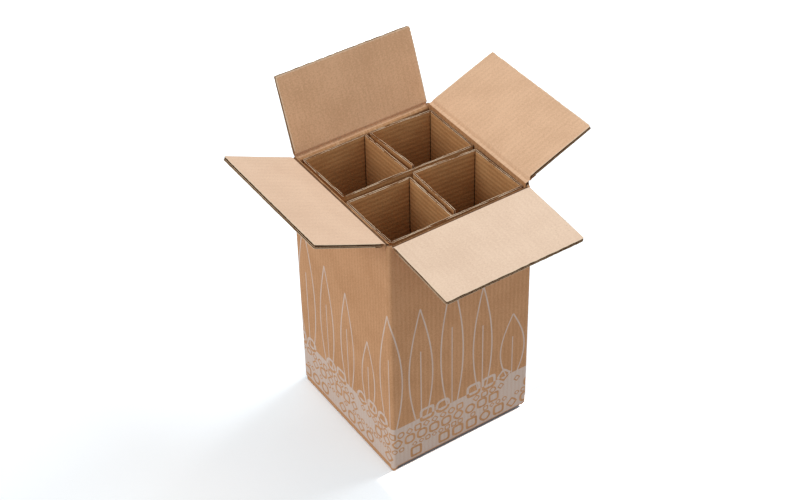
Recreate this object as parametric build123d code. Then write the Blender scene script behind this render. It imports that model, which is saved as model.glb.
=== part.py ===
from build123d import *
import os

# Bottle shipping carton, open, with two folded dividers that make four cells.
# Millimetres, +Z up. The origin is the centre of the base, on the floor.
# The major flaps hang on the left (-X) and right (+X) walls and close outermost.
# The minor flaps hang on the front (-Y) and back (+Y) walls and close under them.

# Outer carton
inner_width = 204.0
inner_depth = 212.0
board = 6.3
corner_radius = 6.0
inner_corner_radius = 1.5
fold_radius = 4.5
layer_gap = 0.4

# Flute section of the double-wall board, counted from its outer face
liner = 0.45
medium = 0.45
fine_flute_height = 2.05
fine_flute_pitch = 6.5
coarse_flute_pitch = 8.0
crown_share = 0.20
root_share = 0.70

# Creases: where each flap turns, in the wall and in the flap, from the outer face
major_axis_in_wall = 1.4
major_axis_in_flap = 5.35
minor_axis_in_wall = 1.5
minor_axis_in_flap = 2.95
major_crush = 10.0
minor_crush = 8.0
inner_crush = 6.0
flap_inner_crush = 4.0
crease_gap = 0.4
crease_lip = 0.2
closing_gap = 0.25

# Flaps, and the gaps where opposite flaps meet when closed
major_end_setback = 7.0
minor_end_setback = 6.6
slot_depth = 2.0
major_meeting_gap = 1.0
minor_meeting_gap = 2.4
base_meeting_gap = 0.5
blind_length = 3.0
left_open_angle = 24.4
right_open_angle = 22.0
front_open_angle = -4.5
back_open_angle = 68.8

# Glued joint at the front right corner
tab_width = 32.0
tab_thickness = 2.0
tab_end_slant = 6.0
seam_gap = 0.4
seam_fold_radius = 4.0
seam_depth = 5.0

# Dividers, each folded from one strip of single-wall board
divider_height = 366.0
ply = 3.0
divider_fold_radius = 0.8
edge_groove_width = 1.7
edge_groove_depth = 1.6
end_clearance = 0.4
tab_clearance = 0.6

width = inner_width + 2 * board
depth = inner_depth + 2 * board
floor_top = 2 * board + layer_gap
divider_top = floor_top + divider_height
minor_closed_bottom = divider_top + closing_gap
minor_axis_height = minor_closed_bottom + board - minor_axis_in_flap
major_closed_bottom = minor_closed_bottom + board + closing_gap
major_axis_height = major_closed_bottom + board - major_axis_in_flap
major_reach = width / 2 - major_axis_in_wall - major_meeting_gap / 2
minor_reach = depth / 2 - minor_axis_in_wall - minor_meeting_gap / 2
major_span = depth - 2 * major_end_setback
minor_span = width - 2 * minor_end_setback
post_top = minor_axis_height - slot_depth
post_foot = board + layer_gap
coarse_flute_height = board - 3 * liner - fine_flute_height


def wall_profile(half, base, axis_in_wall, axis_height, outer_crush, meeting_gap):
    """Section of one wall with its closed bottom flap, from the middle of the base to the crease.

    Local x is the distance from the middle of the box, local y is the height. The top narrows
    to a crushed lip just under the axis that the flap turns about.
    """
    inner_face = half - board
    lip = half - axis_in_wall
    points = [
        (meeting_gap / 2, base),
        (half, base),
        (half, axis_height - outer_crush),
        (lip + crease_lip / 2, axis_height - crease_gap),
        (lip - crease_lip / 2, axis_height - crease_gap),
        (inner_face, axis_height - inner_crush),
        (inner_face, base + board),
        (meeting_gap / 2, base + board),
    ]
    face = make_face(Polyline(*points, close=True))
    outer_corner = face.vertices().sort_by_distance((half, base, 0))[0]
    face = fillet(outer_corner, fold_radius)
    inner_corner = face.vertices().sort_by_distance((inner_face, base + board, 0))[0]
    return fillet(inner_corner, inner_corner_radius)


def folded_wall(profile, span, turn):
    """A wall profile drawn out along its span, then turned about Z onto its side of the box."""
    upright = Plane(origin=(0, span / 2, 0), x_dir=(1, 0, 0), z_dir=(0, -1, 0))
    return Rot(0, 0, turn) * extrude(upright * profile, amount=span)


def make_posts():
    """The four corners of the wall, between the slots that part the flaps."""
    outside = RectangleRounded(width, depth, corner_radius)
    inside = RectangleRounded(inner_width, inner_depth, inner_corner_radius)
    sides = Rectangle(2 * width, major_span) + Rectangle(minor_span, 2 * depth)
    corners = outside - inside - sides
    return Pos(0, 0, post_foot) * extrude(corners, amount=post_top - post_foot)


def make_seam():
    """The open seam of the glued joint, cut down the right side beside the front wall's edge."""
    edge = -inner_depth / 2
    overcut = 1.0
    corner_size = seam_fold_radius + seam_gap
    corner = Pos(width / 2 - (seam_fold_radius - overcut) / 2, edge + corner_size / 2)
    opening = corner * Rectangle(seam_fold_radius + overcut, corner_size)
    fold = Pos(width / 2 - seam_fold_radius, edge + corner_size) * Circle(seam_fold_radius)
    slit = Pos(width / 2 - seam_depth / 2, edge + seam_gap / 2) * Rectangle(seam_depth, seam_gap)
    full_height = major_axis_height + board
    return extrude(opening - fold + slit, amount=full_height)


def make_tab():
    """The crushed glue tab inside the front wall, with slanted ends."""
    right = inner_width / 2
    left = right - tab_width
    bottom = floor_top + closing_gap
    top = minor_axis_height - inner_crush
    outline = [
        (right, bottom),
        (right, top),
        (left, top - tab_end_slant),
        (left, bottom + tab_end_slant),
    ]
    upright = Plane(origin=(0, -inner_depth / 2, 0), x_dir=(1, 0, 0), z_dir=(0, -1, 0))
    return extrude(upright * make_face(Polyline(*outline, close=True)), amount=-tab_thickness)


def make_carton():
    """The outer sheet, folded and glued into a tube with its bottom flaps closed."""
    major = wall_profile(
        width / 2, 0.0, major_axis_in_wall, major_axis_height, major_crush, base_meeting_gap
    )
    minor = wall_profile(
        depth / 2, post_foot, minor_axis_in_wall, minor_axis_height, minor_crush, minor_meeting_gap
    )
    body = make_posts()
    for turn in (0, 180):
        body += folded_wall(major, major_span, turn)
        body += folded_wall(minor, minor_span, turn + 90)
    return body - make_seam() + make_tab()


def flute_channels(span, low, height, nominal_pitch):
    """The hollows on both sides of one fluted medium, as trapezoids across the board's section.

    Local x runs along the cut edge, local y is the depth from the board's outer face. The
    flutes are fitted to the span, so that both side edges are cut down the middle of a flute.
    """
    count = round(span / nominal_pitch)
    pitch = span / count
    root = root_share * pitch / 2
    crown = crown_share * pitch / 2
    high = low + height
    below = [(-root, low), (root, low), (crown, high - medium), (-crown, high - medium)]
    above = [(-root, high), (-crown, low + medium), (crown, low + medium), (root, high)]
    lower_hollow = make_face(Polyline(*below, close=True))
    upper_hollow = make_face(Polyline(*above, close=True))
    start = -span / 2
    hollows = [Pos(start + step * pitch, 0) * lower_hollow for step in range(count + 1)]
    hollows += [Pos(start + (step + 0.5) * pitch, 0) * upper_hollow for step in range(count)]
    return hollows


def make_flap(reach, span, axis_in_flap, outer_crush):
    """One flap with its axis on the Y axis, its board along +X and its outer face below.

    The root is crushed to a lip at the axis. Past the crush the board has its true section:
    three liners and two fluted media, open at the far cut edge.
    """
    outer_face = -axis_in_flap
    inner_face = board - axis_in_flap
    fluted_from = outer_crush + blind_length
    root_points = [
        (crease_gap, -crease_lip / 2),
        (outer_crush, outer_face),
        (fluted_from, outer_face),
        (fluted_from, inner_face),
        (flap_inner_crush, inner_face),
        (crease_gap, crease_lip / 2),
    ]
    side = Plane(origin=(0, span / 2, 0), x_dir=(1, 0, 0), z_dir=(0, -1, 0))
    root = extrude(side * make_face(Polyline(*root_points, close=True)), amount=span)

    coarse_low = 2 * liner + fine_flute_height
    section = Pos(0, board / 2) * Rectangle(span, board)
    section -= flute_channels(span, liner, fine_flute_height, fine_flute_pitch)
    section -= flute_channels(span, coarse_low, coarse_flute_height, coarse_flute_pitch)
    cut = Plane(origin=(fluted_from, 0, outer_face), x_dir=(0, 1, 0), z_dir=(1, 0, 0))
    return root + extrude(cut * section, amount=reach - fluted_from)


def hang_flap(flap, axis_distance, axis_height, open_angle, turn):
    """Turns a flap up from level to its open angle and sets it on its wall."""
    raised = Rot(0, -open_angle, 0) * flap
    return Rot(0, 0, turn) * (Pos(axis_distance, 0, axis_height) * raised)


def make_flaps():
    major = make_flap(major_reach, major_span, major_axis_in_flap, major_crush)
    minor = make_flap(minor_reach, minor_span, minor_axis_in_flap, minor_crush)
    major_distance = width / 2 - major_axis_in_wall
    minor_distance = depth / 2 - minor_axis_in_wall
    return {
        "flap_right": hang_flap(major, major_distance, major_axis_height, right_open_angle, 0),
        "flap_back": hang_flap(minor, minor_distance, minor_axis_height, back_open_angle, 90),
        "flap_left": hang_flap(major, major_distance, major_axis_height, left_open_angle, 180),
        "flap_front": hang_flap(minor, minor_distance, minor_axis_height, front_open_angle, 270),
    }


def offset_corners(path, distance):
    """Corners of the line that runs beside an open path, to its left, at the given distance."""
    sides = []
    for start, end in zip(path, path[1:]):
        run = (Vector(*end) - Vector(*start)).normalized()
        normal = Vector(-run.Y, run.X)
        sides.append((Vector(*start) + normal * distance, run))
    first = sides[0][0]
    last = Vector(*path[-1]) + Vector(-sides[-1][1].Y, sides[-1][1].X) * distance
    corners = [first]
    for (origin, run), (next_origin, next_run) in zip(sides, sides[1:]):
        across = run.X * next_run.Y - run.Y * next_run.X
        gap = next_origin - origin
        along = (gap.X * next_run.Y - gap.Y * next_run.X) / across
        corners.append(origin + run * along)
    corners.append(last)
    return corners


def strip_face(path, thickness, inner_radius, outer_radius):
    """Plan of a folded strip whose middle follows the path, which turns left at each fold."""
    left = FilletPolyline(*offset_corners(path, thickness / 2), radius=inner_radius)
    right = FilletPolyline(*offset_corners(path, -thickness / 2), radius=outer_radius)
    ends = Line(left @ 0, right @ 0) + Line(left @ 1, right @ 1)
    return make_face(left + right + ends)


def make_divider(path):
    """A divider strip stood on edge, with the open flute that its top cut edge shows."""
    outer_radius = divider_fold_radius + ply
    strip = extrude(strip_face(path, ply, divider_fold_radius, outer_radius), amount=divider_height)
    wall = (ply - edge_groove_width) / 2
    groove_face = strip_face(
        path, edge_groove_width, divider_fold_radius + wall, outer_radius - wall
    )
    groove = Pos(0, 0, divider_height - edge_groove_depth) * extrude(
        groove_face, amount=edge_groove_depth
    )
    return Pos(0, 0, floor_top) * (strip - groove)


def divider_path(left_room, right_room, front_lines, back_lines, root_middle, tip_middle, gaps):
    """Middle line of one divider strip: a middle wall, a half back wall, a side wall, the whole
    front wall, and the same again in mirror order, with both free ends at the front wall.

    left_room and right_room are the rooms beside the carton's walls at the row's front and back.
    front_lines are the front wall's places in y at its left and right end. back_lines are those
    of the half back walls: left end, left root, right root, right end. The middle walls stand
    either side of root_middle at the back and of tip_middle at the front, the gaps apart.
    """
    side = inner_width / 2 - ply / 2
    front_left = (-side + left_room[0], front_lines[0])
    back_left = (-side + left_room[1], back_lines[0])
    front_right = (side - right_room[0], front_lines[1])
    back_right = (side - right_room[1], back_lines[3])
    root_half = (ply + gaps[0]) / 2
    tip_half = (ply + gaps[1]) / 2
    left_root = (root_middle - root_half, back_lines[1])
    right_root = (root_middle + root_half, back_lines[2])
    slope = (front_right[1] - front_left[1]) / (front_right[0] - front_left[0])

    def tip(x):
        wall_middle = front_left[1] + slope * (x - front_left[0])
        return (x, wall_middle + ply / 2 + end_clearance)

    left_side = [tip(tip_middle - tip_half), left_root, back_left, front_left]
    right_side = [front_right, back_right, right_root, tip(tip_middle + tip_half)]
    return left_side + right_side


def make_dividers():
    """Both rows of cells, as they settled in the carton, a little askew."""
    wall = inner_depth / 2 - ply / 2
    tab_side = tab_thickness + tab_clearance
    front_path = divider_path(
        left_room=(4.5, 3.5),
        right_room=(1.7, 4.8),
        front_lines=(-wall + 5.0, -wall + tab_side),
        back_lines=(-ply - 0.7, -ply - 3.1, 1.0 - ply, -ply - 4.4),
        root_middle=-0.1,
        tip_middle=-3.2,
        gaps=(5.3, 0.4),
    )
    back_path = divider_path(
        left_room=(7.2, 6.6),
        right_room=(1.9, 2.1),
        front_lines=(ply + 5.3, ply - 0.8),
        back_lines=(wall - 2.3, wall - 1.5, wall - 6.9, wall - 8.4),
        root_middle=3.8,
        tip_middle=5.0,
        gaps=(4.6, 1.6),
    )
    return {"divider_front": make_divider(front_path), "divider_back": make_divider(back_path)}


def main():
    os.makedirs("parts", exist_ok=True)
    nodes = {"carton": make_carton()}
    nodes.update(make_flaps())
    nodes.update(make_dividers())
    for name, solid in nodes.items():
        export_step(solid, f"parts/{name}.step")
        print(name, "volume", round(solid.volume / 1000), "cm3")


main()
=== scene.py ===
# %% [markdown]
# # An open carton for four bottles
# The real object is a shipping carton of double-wall board. It stands on a white studio floor, its four top
# flaps are folded outwards, and two folded strips of thinner board part it into four cells.
# The CAD model gives the sizes and the joints, so it is loaded first and everything else is fitted to it.

# %% Load the frame
import math

import bpy
import numpy as np
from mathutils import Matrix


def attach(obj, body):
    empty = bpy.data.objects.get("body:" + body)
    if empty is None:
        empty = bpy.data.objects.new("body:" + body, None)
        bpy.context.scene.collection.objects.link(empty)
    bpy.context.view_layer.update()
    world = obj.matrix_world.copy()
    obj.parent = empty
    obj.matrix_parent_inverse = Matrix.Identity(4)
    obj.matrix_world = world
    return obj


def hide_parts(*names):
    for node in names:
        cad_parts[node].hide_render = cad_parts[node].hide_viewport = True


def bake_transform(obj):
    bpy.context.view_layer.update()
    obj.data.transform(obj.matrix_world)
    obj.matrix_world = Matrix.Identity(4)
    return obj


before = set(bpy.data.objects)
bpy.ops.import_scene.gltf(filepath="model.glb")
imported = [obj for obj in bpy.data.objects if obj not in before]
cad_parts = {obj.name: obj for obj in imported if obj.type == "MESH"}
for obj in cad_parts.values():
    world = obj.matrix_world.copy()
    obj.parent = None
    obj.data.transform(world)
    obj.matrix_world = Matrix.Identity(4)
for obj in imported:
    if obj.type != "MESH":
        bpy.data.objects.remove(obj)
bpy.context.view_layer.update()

MM = 0.001

# %% [markdown]
# ## The camera
# The photograph was taken from above and to the left, with a long lens. A camera could be aimed by eye, but
# then no edge would lie quite where it should, so its place was worked out from the edges and corners of
# the carton. The focal length was found in pixels of an 800 pixel wide frame, and is turned into
# millimetres for Blender's 36 mm sensor.

# %% Camera
FRAME_WIDTH_PX = 800
FOCAL_PX = 1791.9
SENSOR_MM = 36.0
EYE_MM = (-995.6, -1488.6, 1744.4)
TURN_DEG = (50.254, 0.954, -34.103)


def add_object(name, data):
    """A new object that holds the data, put into the scene."""
    thing = bpy.data.objects.new(name, data)
    bpy.context.scene.collection.objects.link(thing)
    return thing


lens = bpy.data.cameras.new("camera")
lens.sensor_width = SENSOR_MM
lens.lens = FOCAL_PX * SENSOR_MM / FRAME_WIDTH_PX
camera = add_object("camera", lens)
camera.location = [c * MM for c in EYE_MM]
camera.rotation_euler = [math.radians(a) for a in TURN_DEG]
bpy.context.scene.camera = camera
print("lens", round(lens.lens, 2), "mm")

# %% [markdown]
# ## Sizes
# These are the CAD model's own sizes, in millimetres, so that each new piece lies where its solid lies.
# They could be measured on the solids, but a name says what a size is for.

# %% Sizes of the carton
INNER_WIDTH = 204.0
INNER_DEPTH = 212.0
BOARD = 6.3
WIDTH = INNER_WIDTH + 2 * BOARD
DEPTH = INNER_DEPTH + 2 * BOARD
CORNER_RADIUS = 6.0
INNER_CORNER_RADIUS = 1.5
FOLD_RADIUS = 1.6
MAJOR_SPAN = 210.6
MINOR_SPAN = 203.4
MAJOR_AXIS_Z = 386.75
MINOR_AXIS_Z = 382.6
POST_TOP = 384.0
POST_FOOT = 6.7
CREASE_GAP = 0.4
CREASE_LIP = 0.2
print("outside", round(WIDTH, 1), "x", round(DEPTH, 1), "mm, creases at", MAJOR_AXIS_Z, "and", MINOR_AXIS_Z)

# %% Sizes of the two boards
LINER = 0.42
MEDIUM = 0.26
FINE_PITCH = 6.5
COARSE_PITCH = 8.0
FINE_LOW, FINE_HIGH = 0.42, 2.5
COARSE_LOW, COARSE_HIGH = 2.92, 5.88
WASHBOARD = 0.07

DIVIDER_TOP = 379.0
DIVIDER_BOTTOM = 13.0
PLY = 3.0
DIVIDER_WAVES = 52
DIVIDER_PITCH = (DIVIDER_TOP - DIVIDER_BOTTOM) / DIVIDER_WAVES
DIVIDER_WASHBOARD = 0.30

# %% [markdown]
# ## Helpers for shapes
# Every sheet of paper here is a closed shell: two grids of points, one for each face, joined round their
# rims. A Solidify modifier could thicken one grid, but evenly, and paper is crushed at a fold and frayed at
# a cut. Both grids come from one function of two parameters, so a sheet is folded, crushed or rippled in
# that function alone.

# %% Shell of a sheet
def grid_quads(rows, columns, start):
    """Corner numbers of the quads of a grid whose points are numbered row by row from start."""
    numbers = np.arange(rows * columns).reshape(rows, columns) + start
    corners = (numbers[:-1, :-1], numbers[1:, :-1], numbers[1:, 1:], numbers[:-1, 1:])
    return np.stack(corners, axis=-1).reshape(-1, 4)


def rim_quads(rows, columns):
    """Quads that join the rim of the first grid to the rim of the second, all the way round."""
    numbers = np.arange(rows * columns).reshape(rows, columns)
    loop = np.concatenate([numbers[0, :-1], numbers[:-1, -1], numbers[-1, :0:-1], numbers[:0:-1, 0]])
    ahead = np.roll(loop, -1)
    return np.stack([loop, loop + rows * columns, ahead + rows * columns, ahead], axis=-1)


def shell(front, back, sheet, face=0, rim=1, wear_and_shading=0.0):
    """A closed sheet between two grids of points.

    front and back are (rows, columns, 3) in millimetres, and sheet is each point's place on the flat paper,
    (rows, columns, 2). face and rim are material numbers, and face may differ from quad to quad. The
    volume's sign, a sum of corner . (next x last) over the faces, says which way they point, and they are
    turned if it is negative.
    """
    rows, columns = front.shape[:2]
    points = np.concatenate([front.reshape(-1, 3), back.reshape(-1, 3)])
    faces = np.concatenate([
        grid_quads(rows, columns, 0),
        grid_quads(rows, columns, rows * columns)[:, ::-1],
        rim_quads(rows, columns)[:, ::-1],
    ])
    a, b, c, d = (points[faces[:, i]] for i in range(4))
    volume = np.einsum("ij,ij->", a, np.cross(b, c)) + np.einsum("ij,ij->", a, np.cross(c, d))
    if volume < 0:
        faces = faces[:, ::-1]
    patches = np.broadcast_to(face, (rows - 1, columns - 1)).ravel()
    finish = np.concatenate([patches, patches, np.full(len(faces) - 2 * patches.size, rim)])
    return {
        "points": points,
        "faces": faces,
        "finish": finish,
        "sheet": np.tile(sheet.reshape(-1, 2), (2, 1)),
        "wear_and_shading": np.tile(np.broadcast_to(wear_and_shading, (rows, columns)).ravel(), 2),
    }


# %% Shells into one Blender object
SHARP_ANGLE = math.radians(38)


def build(name, shells, materials, body):
    """One mesh object from several shells. It is in metres, and rides on a body of the frame when a body is
    given.
    """
    starts = np.cumsum([0] + [len(s["points"]) for s in shells])
    points = np.concatenate([s["points"] for s in shells]) * MM
    faces = np.concatenate([s["faces"] + start for s, start in zip(shells, starts)])
    finish = np.concatenate([s["finish"] for s in shells])
    sheet = np.concatenate([s["sheet"] for s in shells]) * MM
    wear_and_shading = np.concatenate([s["wear_and_shading"] for s in shells])

    mesh = bpy.data.meshes.new(name)
    mesh.vertices.add(len(points))
    mesh.vertices.foreach_set("co", points.astype(np.float32).ravel())
    mesh.loops.add(faces.size)
    mesh.loops.foreach_set("vertex_index", faces.astype(np.int32).ravel())
    mesh.polygons.add(len(faces))
    mesh.polygons.foreach_set("loop_start", np.arange(0, faces.size, 4, dtype=np.int32))
    mesh.polygons.foreach_set("material_index", finish.astype(np.int32))
    mesh.polygons.foreach_set("use_smooth", np.ones(len(faces), bool))
    mesh.update(calc_edges=True)
    uv = mesh.uv_layers.new(name="sheet")
    uv.data.foreach_set("uv", sheet[faces.ravel()].astype(np.float32).ravel())
    # This attribute holds wear and painted light: above zero pale rub and painted highlight, below zero
    # painted shade.
    worn_and_shaded = mesh.attributes.new("wear_and_shading", "FLOAT", "POINT")
    worn_and_shaded.data.foreach_set("value", wear_and_shading.astype(np.float32))
    mesh.set_sharp_from_angle(angle=SHARP_ANGLE)
    for material in materials:
        mesh.materials.append(material)
    piece = add_object(name, mesh)
    if body:
        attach(piece, body)
    print(f"{name}: {len(points)} points, {2 * len(faces)} triangles")
    return piece


# %% [markdown]
# ## Small irregularities
# A real cut through board is never a clean line: each liner frays by a few tenths of a millimetre. A
# Displace modifier would need a marked group of points for every cut, so a line of random numbers is added
# to the edge of a grid instead. The numbers come from generators with fixed seeds, so each run gives the
# same carton.

# %% Rough lines and soft waves
def rough_line(count, amount, seed, reach=2):
    """Random numbers along a line, each the sum of its neighbours within reach over the square root of their
    number, times the amount."""
    draws = np.random.default_rng(seed).normal(size=count + 2 * reach)
    window = np.ones(2 * reach + 1) / math.sqrt(2 * reach + 1)
    return amount * np.convolve(draws, window, mode="valid")


def soft_wave(u, v, size, seed, count=6):
    """A gentle uneven surface: the mean of a few sine waves that run in random directions."""
    rng = np.random.default_rng(seed)
    total = np.zeros(np.broadcast(u, v).shape)
    for _ in range(count):
        direction, phase = rng.uniform(0, 2 * math.pi, 2)
        length = size * rng.uniform(0.6, 1.6)
        along = u * math.cos(direction) + v * math.sin(direction)
        total = total + np.sin(2 * math.pi * along / length + phase)
    return total / count


def roughen(a, b, cut, amount, seed):
    """Moves the edge points of a grid to and fro, on the sides that are cuts: start or end of a or of b."""
    a, b = a.copy(), b.copy()
    sides = {"a0": a[0], "a1": a[-1], "b0": b[:, 0], "b1": b[:, -1]}
    for number, (side, line) in enumerate(sides.items()):
        if side in cut:
            line += rough_line(len(line), amount, seed + number)
    return a, b


# %% Positions along a line and ways to fade
def spread(start, *stops):
    """Rising positions along a line: each stop is (end, count)."""
    line = [np.array([float(start)])]
    for end, count in stops:
        line.append(np.linspace(line[-1][-1], end, count + 1)[1:])
    return np.concatenate(line)


def distances(line):
    """How far along a line of points each point is: the running sum of the steps between them."""
    steps = np.hypot(*np.diff(line, axis=0).T)
    return np.concatenate([[0], np.cumsum(steps)])


def eased(distance, length):
    """0 to 1 over the length, with a flat start and end: half a cosine."""
    return (1 - np.cos(math.pi * np.clip(distance / length, 0, 1))) / 2


def shoulder(distance, length):
    """0 to 1 over the length, steep at first: mostly a quarter of a circle, as paper pulled over an edge."""
    t = np.clip(distance / length, 0, 1)
    return 0.65 * np.sqrt(t * (2 - t)) + 0.35 * eased(distance, length)


def bell(distance, width):
    """1 in the middle and soon 0 on both sides: e to the minus (distance / width) squared."""
    return np.exp(-((distance / width) ** 2))


def fading(distance, width):
    """1 at an edge and ever less away from it: e to the minus distance / width."""
    return np.exp(-distance / width)


# %% [markdown]
# ## Helpers for finishes
# A finish is a material made of nodes. They could be made and linked one by one, but a formula is easier to
# read, so Amount wraps one socket, and plus and times on it add Math nodes. Every other node comes from
# Finish.node.

# %% Amounts
class Amount:
    """A value that changes over a surface. Maths on it adds Math nodes to its finish."""

    def __init__(self, finish, socket):
        self.finish = finish
        self.socket = socket

    def maths(self, operation, *values):
        return self.finish.node("ShaderNodeMath", {"operation": operation}, dict(enumerate(values)))

    def __add__(self, other):
        return self.maths("ADD", self, other)

    __radd__ = __add__

    def __sub__(self, other):
        return self.maths("SUBTRACT", self, other)

    def __rsub__(self, other):
        return self.maths("SUBTRACT", other, self)

    def __mul__(self, other):
        return self.maths("MULTIPLY", self, other)

    __rmul__ = __mul__

    def __truediv__(self, other):
        return self.maths("DIVIDE", self, other)

    def __rtruediv__(self, other):
        return self.maths("DIVIDE", other, self)

    def __pow__(self, other):
        return self.maths("POWER", self, other)

    def __abs__(self):
        return self.maths("ABSOLUTE", self)

    def floor(self):
        return self.maths("FLOOR", self)

    def fraction(self):
        return self.maths("FRACT", self)

    def sine(self):
        return self.maths("SINE", self)

    def larger(self, other):
        return self.maths("MAXIMUM", self, other)

    def above(self, low, high):
        """0 below low, 1 above high and a smooth rise between them."""
        settings = {"interpolation_type": "SMOOTHSTEP"}
        inputs = {"Value": self, "From Min": low, "From Max": high}
        return self.finish.node("ShaderNodeMapRange", settings, inputs)

    def below(self, high, soft):
        """1 below high and 0 above it, with a soft edge."""
        return 1 - self.above(high - soft, high + soft)


# %% Finishes
class Finish:
    """One material and the nodes that give it its look."""

    def __init__(self, name):
        self.material = bpy.data.materials.new(name)
        self.material.use_nodes = True
        self.nodes = self.material.node_tree.nodes
        self.links = self.material.node_tree.links
        self.surface = self.nodes["Principled BSDF"]

    def node(self, kind, settings=None, inputs=None, output=0):
        """Adds a node: its settings first, then the values or links of its sockets."""
        made = self.nodes.new(kind)
        for key, value in (settings or {}).items():
            setattr(made, key, value)
        for key, value in (inputs or {}).items():
            self.feed(made, key, value)
        return Amount(self, self.socket(made.outputs, output))

    def socket(self, sockets, key):
        """A socket by its number, or by its identifier or name."""
        if isinstance(key, int):
            return sockets[key]
        return next(s for s in sockets if key in (s.identifier, s.name))

    def feed(self, node, key, value):
        """Links an Amount to a socket, or sets the socket's own value."""
        target = self.socket(node.inputs, key)
        if isinstance(value, Amount):
            self.links.new(value.socket, target)
        else:
            target.default_value = value

    def part(self, vector, axis):
        """The X, Y or Z of a vector."""
        return self.node("ShaderNodeSeparateXYZ", None, {"Vector": vector}, axis)

    def mix(self, low, high, share):
        """A colour between two colours."""
        inputs = {"Factor_Float": share, "A_Color": low, "B_Color": high}
        return self.node("ShaderNodeMix", {"data_type": "RGBA"}, inputs, "Result_Color")

    def noise(self, vector, scale, detail=2.0):
        """Blender's noise in two dimensions, about 0 to 1."""
        inputs = {"Vector": vector, "Scale": scale, "Detail": detail}
        return self.node("ShaderNodeTexNoise", {"noise_dimensions": "2D"}, inputs)

    def stretched(self, vector, along, across):
        """The same coordinates, scaled along and across the sheet."""
        return self.node("ShaderNodeMapping", None, {"Vector": vector, "Scale": (along, across, 1.0)})

    def draw(self, number):
        """A random value from 0 to 1 for each whole number."""
        return self.node("ShaderNodeTexWhiteNoise", {"noise_dimensions": "1D"}, {"W": number})


def paint(red, green, blue):
    """A colour given as 0 to 255 on the screen, as the linear red, green, blue and alpha that nodes use."""
    share = np.array([red, green, blue]) / 255
    linear = np.where(share <= 0.04045, share / 12.92, ((share + 0.055) / 1.055) ** 2.4)
    return (*linear.tolist(), 1.0)


# %% [markdown]
# ## The print
# One pale ink is printed on the walls. A band runs round the foot, and rows of small shapes are left out of
# it. Tall leaf outlines stand on the band. A picture could be laid on the walls, but a formula stays sharp
# from any distance. Here s runs round the box and z is the height on the flat sheet. The sheet is cut into
# cells, and each cell's random number sets its own shape.

# %% Ink
BAND_FOOT, BAND_TOP = 9.2, 77.0
BAND_SOFT = 0.3
INK_SOFT = 0.25
ROW_SHIFT = 0.37
ROW_DRAWS = 100.0
SHAPE_ROWS = (
    {"z": 80.0, "pitch": 25.0, "radius": 9.6, "stroke": 4.0, "share": 0.50},
    {"z": 62.5, "pitch": 13.5, "radius": 4.6, "stroke": 2.4, "share": 0.88},
    {"z": 48.5, "pitch": 19.5, "radius": 6.9, "stroke": 3.2, "share": 0.85},
    {"z": 35.0, "pitch": 10.5, "radius": 3.4, "stroke": 1.9, "share": 0.85},
    {"z": 21.0, "pitch": 22.5, "radius": 7.6, "stroke": 3.6, "share": 0.85},
)
LEAF_PITCH = 49.0
LEAF_LOW, LEAF_HIGH = 95.0, 225.0
LEAF_HALF = 21.0
LEAF_LINE = 2.1
RIB_TOP = 0.62


def shape_row(finish, s, z, row, number):
    """A row of outlined shapes. Each is the line where (|u|^k + |v|^k)^(1/k) is the radius: a diamond for
    k = 1, a circle for k = 2 and nearly a square for a large k. Cells whose draw is over the share stay
    empty."""
    place = s / row["pitch"] + ROW_SHIFT * number
    chance = finish.draw(place.floor() + ROW_DRAWS * number)
    kept = finish.draw(place.floor() + ROW_DRAWS * number + ROW_DRAWS / 2).below(row["share"], 0.001)
    u = abs((place.fraction() - 0.5) * row["pitch"])
    v = abs(z - row["z"])
    k = 1 + chance * chance * 5
    distance = (u ** k + v ** k) ** (1 / k)
    return abs(distance - row["radius"]).below(row["stroke"] / 2, INK_SOFT) * kept


def leaf_row(finish, s, z):
    """Tall leaf outlines with a midrib: the half width at a height t from 0 to 1 is a sine of
    0.16 + 0.84 t half turns, so that each leaf is open below and ends in a point."""
    place = s / LEAF_PITCH
    cell = place.floor()
    height = LEAF_LOW + finish.draw(cell + 3.5) * (LEAF_HIGH - LEAF_LOW)
    half = (0.66 + 0.34 * finish.draw(cell + 7.5)) * LEAF_HALF
    t = (z - BAND_TOP) / height
    u = (place.fraction() - 0.5) * LEAF_PITCH
    width = ((0.16 + 0.84 * t) * math.pi).sine() * half
    side = abs(abs(u) - width).below(LEAF_LINE / 2, INK_SOFT)
    rib = abs(u).below(LEAF_LINE / 2.6, INK_SOFT) * t.below(RIB_TOP, 0.002)
    inside = t.above(0.0, 0.001) * t.below(1.0, 0.001)
    return side.larger(rib) * inside


def ink_mask(finish, sheet_x, sheet_y):
    """Where the ink lies: the band, turned over wherever a shape lies on it, and the leaves above."""
    s, z = sheet_x / MM, sheet_y / MM
    mask = z.above(BAND_FOOT - BAND_SOFT, BAND_FOOT + BAND_SOFT) * z.below(BAND_TOP, BAND_SOFT)
    for number, row in enumerate(SHAPE_ROWS):
        mask = abs(mask - shape_row(finish, s, z, row, number))
    return mask.larger(leaf_row(finish, s, z))


# %% [markdown]
# ## Kraft paper
# Kraft liner is brown paper with a cloudy tone, short fibres that mostly run along the paper machine's
# direction, a few flecks, and faint stripes where the flutes are glued behind it. Where it is folded or cut
# it wears pale. It is painted dark for shade deep in a divider's folds, in a crease's valley, beside the
# tube's corners and beside a crease's ridge, and it is painted pale for light on some crease ridges and
# divider tops. The pattern could read the object's own coordinates, but those run straight on where the
# paper turns, so it reads the sheet's flat ones and bends with the board.

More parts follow.
